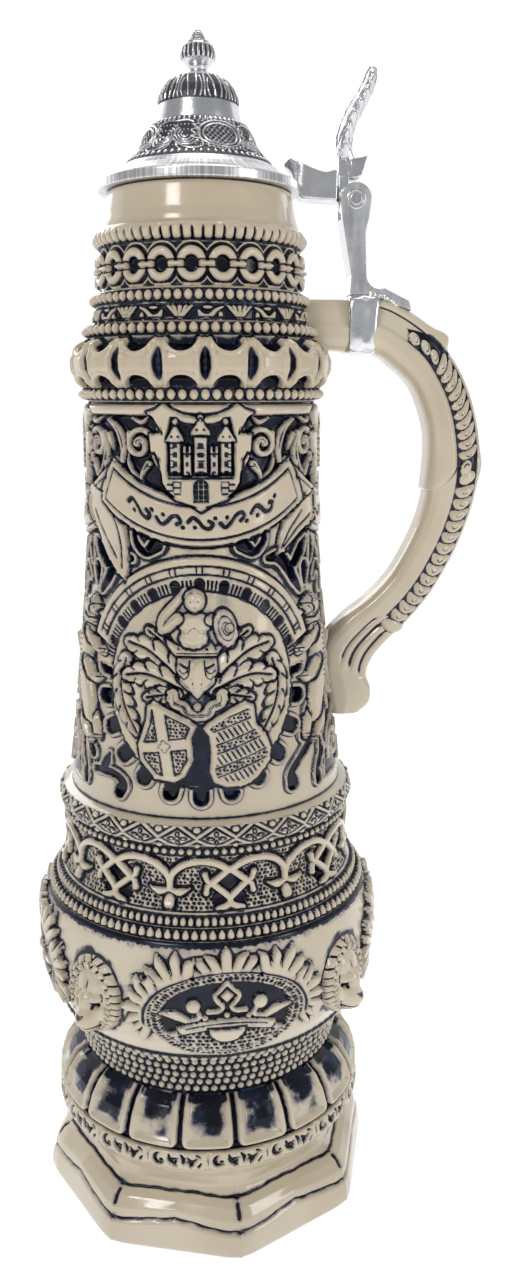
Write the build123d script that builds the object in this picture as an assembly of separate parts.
"""Tall stoneware stein with a hinged pewter lid.

Millimetres. +Z is up, the origin is the centre of the foot's underside, and the handle points along +X.
The lid turns about an axis along Y, at the top of the shank that is strapped to the handle.
"""

import os
from math import cos, radians, sin

from build123d import *

# Heights of the stoneware's seams and of its lip, from the underside of the foot
bowl_seam_z = 98.0
barrel_seam_z = 159.0
lip_z = 479.5

# Plinth: an octagon that is turned a little from the handle, as the piece was luted on
plinth_turn = 6.5
plinth_corner_r = 85.0
plinth_shelf_corner_r = 74.0
plinth_wall_h = 12.0
plinth_h = 25.0

# Vessel walls
wall = 8.0
mouth_r = 34.5
lip_r = 41.0
barrel_bore_r = 66.0
spigot_h = 4.0
spigot_t = 4.0
slip_gap = 0.1
foot_bore_r = 52.0

# Lion masks round the bowl
mask_count = 4
mask_z = 133.0
mask_axis_r = 79.0
mask_radii = (13.0, 15.0, 17.0)

# Handle
handle_w = 21.0
spine_w = 11.0
spine_h = 4.0
strap_x = (65.5, 79.0)
strap_t = 1.6
handle_top_z = 436.0
handle_under_z = 413.5

# Lid
flange_r = 44.2
flange_z = 479.7
flange_t = 3.7
shoulder_r = 34.0
shoulder_z = 489.0
dome_top_r = 20.0
dome_top_z = 508.0
cap_top_z = 528.0
finial_top_z = 546.0
metal_t = 2.0

# Hinge
pin_x = 68.5
pin_z = 477.8
pin_r = 2.6
running_gap = 0.05
ear_r = 6.9
ear_t = 3.6
knuckle_r = 7.5
knuckle_w = 7.6
side_gap = 0.2
hinge_w = knuckle_w + 2 * (side_gap + ear_t)

# Screw that holds the finial
screw_r = 2.0
screw_head_r = 3.6
screw_head_h = 2.2


def outline(start, *moves):
    """Closed face in the XZ plane. A move of one point is a line, of two an arc, and of more a curve."""
    edges = []
    at = start
    for move in moves:
        points = [at, *move]
        if len(points) == 2:
            edges.append(Line(*points))
        elif len(points) == 3:
            edges.append(ThreePointArc(*points))
        else:
            edges.append(Spline(*points))
        at = points[-1]
    if at != start:
        edges.append(Line(at, start))
    return make_face(Plane.XZ * (Curve() + edges))


def turned(start, *moves):
    """Solid of revolution about Z, from an outline of (radius, height) points."""
    return revolve(outline(start, *moves), Axis.Z)


def cut_from_side(start, *moves, width, y=0.0):
    """Plate of the given width along Y, with its outline in XZ."""
    return Pos(0, y, 0) * extrude(outline(start, *moves), width / 2, both=True)


def along_y(radius, length, x, z, y=0.0):
    """Cylinder whose axis runs along Y."""
    return Pos(x, y, z) * Rot(90, 0, 0) * Cylinder(radius, length)


def octagon(corner_r, z):
    """Octagonal face of the plinth at height z."""
    return Pos(0, 0, z) * RegularPolygon(corner_r, 8, rotation=plinth_turn)


def barrel_skin():
    """Moves that draw the barrel's outside from its seam up to the lip."""
    return [
        [(79.0, barrel_seam_z)],
        [(76.0, 165.0)],
        [(71.0, 171.0)],
        [(68.6, 184.0), (69.5, 201.0)],
        [(71.5, 206.5), (66.5, 212.5)],
        [(63.5, 240.0), (59.5, 275.0), (53.5, 335.0), (53.0, 365.0), (53.5, 391.0)],
        [(55.0, 394.0)],
        [(54.0, 398.5)],
        [(58.5, 407.0), (51.5, 416.5)],
        [(52.5, 420.5)],
        [(49.5, 424.0)],
        [(49.0, 434.0)],
        [(45.5, 437.0)],
        [(44.5, 455.5)],
        [(47.0, 460.0), (42.5, 466.5)],
        [(42.0, 470.0), (41.2, 474.0), (lip_r, 477.5)],
        [(lip_r - 3.2, lip_z)],
    ]


def barrel_core():
    """The barrel with no hollow, for trimming what is luted to it."""
    return turned((0, barrel_seam_z), *barrel_skin(), [(0, lip_z)])


def barrel():
    """Walls from the bowl's rim to the lip, with a spigot that registers in the bowl."""
    spigot_r = barrel_bore_r + spigot_t
    return turned(
        (spigot_r, barrel_seam_z),
        *barrel_skin(),
        [(mouth_r + 1.5, lip_z)],
        [(mouth_r, lip_z - 3.0)],
        [(mouth_r, 462.0)],
        [(37.5, 440.0), (43.5, 410.0), (45.5, 340.0), (54.0, 262.0), (60.0, 205.0)],
        [(barrel_bore_r, 172.0)],
        [(barrel_bore_r, barrel_seam_z - spigot_h)],
        [(spigot_r, barrel_seam_z - spigot_h)],
    )


def bowl_skin():
    """Moves that draw the bowl's outside from its seam up to its rim."""
    return [[(70.5, bowl_seam_z)], [(82.0, 117.0), (83.0, 137.0), (80.5, 153.0), (79.0, barrel_seam_z)]]


def bowl_core():
    """The bowl with no hollow, for trimming what is luted to it."""
    return turned((0, bowl_seam_z), *bowl_skin(), [(0, barrel_seam_z)])


def bowl():
    """Bulge with the floor of the vessel, a rebate for the barrel and a spigot for the foot."""
    spigot_r = foot_bore_r - slip_gap
    rebate_r = barrel_bore_r + spigot_t + slip_gap
    rebate_z = barrel_seam_z - spigot_h - slip_gap
    floor_z = bowl_seam_z + wall
    return turned(
        (0, bowl_seam_z - spigot_h),
        [(spigot_r, bowl_seam_z - spigot_h)],
        [(spigot_r, bowl_seam_z)],
        *bowl_skin(),
        [(rebate_r, barrel_seam_z)],
        [(rebate_r, rebate_z)],
        [(barrel_bore_r, rebate_z)],
        [(73.0, 145.0), (74.0, 130.0), (64.0, floor_z)],
        [(0, floor_z)],
    )


def foot():
    """Waist, gadrooned ovolo and leaf ring over the octagonal plinth, hollow underneath."""
    shaft = turned(
        (0, plinth_h - 1.0),
        [(67.5, plinth_h - 1.0)],
        [(67.5, 31.0), (75.5, 43.0)],
        [(78.0, 48.5), (76.0, 54.5)],
        [(73.5, 67.5), (64.5, 75.0)],
        [(65.0, 85.0), (70.5, bowl_seam_z)],
        [(0, bowl_seam_z)],
    )
    plinth = extrude(octagon(plinth_corner_r, 0), plinth_wall_h)
    moulding = loft([octagon(plinth_corner_r, plinth_wall_h), octagon(82.5, 20.0)], ruled=True)
    shelf = loft([octagon(82.5, 20.0), octagon(plinth_shelf_corner_r, plinth_h)], ruled=True)
    hollow = turned(
        (0, 0),
        [(62.0, 0)],
        [(58.0, 40.0)],
        [(foot_bore_r, 66.0)],
        [(foot_bore_r, bowl_seam_z)],
        [(0, bowl_seam_z)],
    )
    return plinth + moulding + shelf + shaft - hollow


def lion_masks():
    """Four separate masks, luted to the bowl between its cartouches."""
    core = bowl_core()
    masks = []
    for number in range(mask_count):
        angle = radians(45 + 90 * number)
        place = Pos(mask_axis_r * cos(angle), mask_axis_r * sin(angle), mask_z)
        egg = scale(Sphere(1.0), by=mask_radii)
        masks.append(place * Rot(0, 0, 45 + 90 * number) * egg - core)
    return Compound(children=masks)


def handle_plate(width, inset):
    """Handle outline as a plate: a straight upper lug, a beak, the bow and a scrolled tail."""
    return cut_from_side(
        (40.0, handle_top_z),
        [(81.0, handle_top_z)],
        [(111.0 - inset, 423.5)],
        [(112.0 - inset, 420.5), (109.0 - inset, 418.5)],
        [
            (126.0 - inset, 388.5),
            (131.0 - inset, 360.0),
            (120.5 - inset, 320.5),
            (108.0 - inset, 297.5),
            (89.0 - inset, 276.0),
        ],
        [(80.5, 268.0), (79.0, 260.0), (82.5, 250.0)],
        [(80.0, 241.0), (72.0, 239.0)],
        [(55.0, 242.0)],
        [(55.0, 283.0)],
        [(78.5, 297.0), (98.5, 326.0), (106.0, 365.0), (97.0, 399.0), (81.0, handle_under_z)],
        [(40.0, handle_under_z)],
        width=width,
    )


def handle():
    """Handle with a narrower spine standing along the outside of its bow."""
    return handle_plate(handle_w, spine_h) + handle_plate(spine_w, 0) - barrel_core()


def strap_band():
    """Pewter band bent round the straight lug of the handle, open along its lower seam."""
    length = strap_x[1] - strap_x[0]
    centre = (strap_x[0] + strap_x[1]) / 2
    middle_z = (handle_top_z + handle_under_z) / 2
    inner_w = handle_w + 2 * slip_gap
    inner_h = handle_top_z - handle_under_z + 2 * slip_gap
    outer = Box(length, inner_w + 2 * strap_t, inner_h + 2 * strap_t)
    outer = fillet(outer.edges().filter_by(Axis.X), 1.5)
    seam = Pos(0, 0, -inner_h / 2) * Box(length, 0.6, 3 * strap_t)
    return Pos(centre, 0, middle_z) * (outer - Box(length, inner_w, inner_h) - seam)


def shank():
    """Casting with two hinge ears, a stem, a saddle on the strap and a tongue down the handle's back."""
    saddle_z = handle_top_z + slip_gap + strap_t
    stem = cut_from_side(
        (strap_x[0] + 1.0, saddle_z),
        [(67.0, 446.0)],
        [(64.0, 462.0)],
        [(62.5, 470.0)],
        [(74.5, 470.0)],
        [(73.0, 464.0)],
        [(73.8, 446.0)],
        [(76.0, 441.5), (82.0, 440.5)],
        [(93.5, 435.0)],
        [(94.5, 431.0)],
        [(81.0, handle_top_z + slip_gap)],
        [(strap_x[1] + slip_gap, handle_top_z + slip_gap)],
        [(strap_x[1] + slip_gap, saddle_z)],
        width=hinge_w,
    )
    ears = along_y(ear_r, hinge_w, pin_x, pin_z) + cut_from_side(
        (62.5, 470.0),
        [(pin_x - ear_r, pin_z)],
        [(pin_x + ear_r, pin_z)],
        [(74.5, 470.0)],
        width=hinge_w,
    )
    slot = Pos(pin_x, 0, pin_z) * Box(40, knuckle_w + 2 * side_gap, 2 * (knuckle_r + 0.4))
    pin_bore = along_y(pin_r + 0.02, hinge_w, pin_x, pin_z)
    return stem + ears - slot - pin_bore - handle()


def hinge_pin():
    """Steel pin, peened flush with the outer faces of the ears."""
    return along_y(pin_r, hinge_w, pin_x, pin_z)


def lid_plate():
    """Turned flange that covers the lip, with a shoulder for the dome and a ring that drops in the mouth."""
    ring_r = mouth_r - 1.2
    return turned(
        (ring_r - metal_t, flange_z - 3.0),
        [(ring_r, flange_z - 3.0)],
        [(ring_r, flange_z)],
        [(flange_r - 0.4, flange_z)],
        [(flange_r, flange_z + flange_t / 2), (flange_r - 0.6, flange_z + flange_t)],
        [(shoulder_r + 2.5, flange_z + flange_t)],
        [(shoulder_r + 1.0, shoulder_z - 3.5), (shoulder_r, shoulder_z)],
        [(shoulder_r - metal_t, shoulder_z)],
        [(ring_r - metal_t, flange_z + flange_t)],
    )


def lid_dome():
    """Cast ogee dome in two swells."""
    return turned(
        (shoulder_r - metal_t, shoulder_z),
        [(shoulder_r, shoulder_z)],
        [(29.5, 495.5), (25.0, 499.5)],
        [(23.5, 504.5), (dome_top_r, dome_top_z)],
        [(dome_top_r - 4.0, dome_top_z)],
        [(20.5, 503.0), (22.5, 498.5)],
        [(27.0, 494.5)],
    )


def lid_cap():
    """Collar and fluted cap, bored for the finial's screw."""
    bore_r = screw_r + 0.2
    return turned(
        (16.5, dome_top_z),
        [(18.6, dome_top_z)],
        [(17.3, 515.0)],
        [(14.6, 522.0), (7.0, cap_top_z - 1.0)],
        [(5.2, cap_top_z)],
        [(bore_r, cap_top_z)],
        [(bore_r, cap_top_z - 3.0)],
        [(4.5, cap_top_z - 3.0)],
        [(12.5, 521.5), (14.8, 514.0)],
    )


def finial():
    """Turned acorn finial, tapped from below."""
    bore_r = screw_r + 0.02
    bore_top_z = cap_top_z + 7.0
    return turned(
        (bore_r, cap_top_z),
        [(5.2, cap_top_z)],
        [(3.9, 530.0)],
        [(5.0, 532.0)],
        [(7.2, 536.5), (5.0, 539.5)],
        [(3.6, 540.5)],
        [(2.7, 543.2), (1.4, 545.4)],
        [(0, finial_top_z)],
        [(0, bore_top_z)],
        [(bore_r, bore_top_z)],
    )


def finial_screw():
    """Round-headed screw up through the cap into the finial."""
    head_top_z = cap_top_z - 3.0
    shank_rod = Pos(0, 0, head_top_z) * Cylinder(screw_r, 9.5, align=(Align.CENTER, Align.CENTER, Align.MIN))
    head = Pos(0, 0, head_top_z) * Cylinder(
        screw_head_r, screw_head_h, align=(Align.CENTER, Align.CENTER, Align.MAX)
    )
    slot = Pos(0, 0, head_top_z - screw_head_h) * Box(3 * screw_head_r, 0.9, 1.8)
    return shank_rod + head - slot


def hinge_arm():
    """Lug soldered over the flange's edge, ending in the middle knuckle of the hinge."""
    plate_w = hinge_w - 2.0
    root = cut_from_side(
        (36.5, 485.5),
        [(38.0, 491.0), (40.5, 491.5)],
        [(47.0, 488.5)],
        [(53.5, 486.5)],
        [(60.6, 486.5)],
        [(60.6, 476.4)],
        [(42.0, 476.4)],
        [(42.0, 483.0)],
        width=plate_w,
    )
    neck = cut_from_side(
        (58.0, 486.5),
        [(66.0, 486.5)],
        [(68.5, pin_z + knuckle_r)],
        [(68.5, pin_z)],
        [(62.0, 476.4)],
        [(58.0, 476.4)],
        width=knuckle_w,
    )
    knuckle = along_y(knuckle_r, knuckle_w, pin_x, pin_z)
    bore = along_y(pin_r + running_gap, 2 * hinge_w, pin_x, pin_z)
    lip_clearance = turned((0, 470.0), [(lip_r + 0.6, 470.0)], [(lip_r + 0.6, flange_z)], [(0, flange_z)])
    return root + neck + knuckle - bore - lip_clearance - lid_plate() - lid_dome()


def thumblift_front():
    """Outline of the leaf as the drinker sees it, standing on the X axis."""
    right = [(7.0, 0), (7.0, 8), (7.6, 14), (9.8, 22), (9.0, 33), (4.5, 42)]
    left = [(-across, up) for across, up in reversed(right)]
    leaf_edge = Spline(*right[1:], (0, 46.5), *left[:-1])
    foot_edges = [Line(left[-2], left[-1]), Line(left[-1], right[0]), Line(right[0], right[1])]
    return make_face(Curve() + [leaf_edge, *foot_edges])


def thumblift():
    """Waved leaf that the thumb presses, standing on the hinge arm."""
    foot_z = 486.5
    leaf = cut_from_side(
        (61.0, foot_z),
        [(60.5, 495.0), (59.8, 502.0), (62.0, 509.5), (67.5, 517.0), (71.5, 525.5), (73.5, 531.0)],
        [(75.5, 532.2), (76.5, 530.0)],
        [(75.0, 521.5), (70.5, 514.0), (66.5, 507.5), (66.0, 500.0), (69.0, 496.0)],
        [(73.0, 494.2)],
        [(72.4, 492.6)],
        [(71.0, foot_z)],
        width=20.0,
    )
    spread = extrude(Plane.YZ * thumblift_front(), 100, both=True)
    return (leaf & Pos(0, 0, foot_z) * spread) - hinge_arm()


os.makedirs("parts", exist_ok=True)
for make in (
    barrel,
    bowl,
    foot,
    lion_masks,
    handle,
    strap_band,
    shank,
    hinge_pin,
    lid_plate,
    lid_dome,
    lid_cap,
    finial,
    finial_screw,
    hinge_arm,
    thumblift,
):
    export_step(make(), f"parts/{make.__name__}.step")
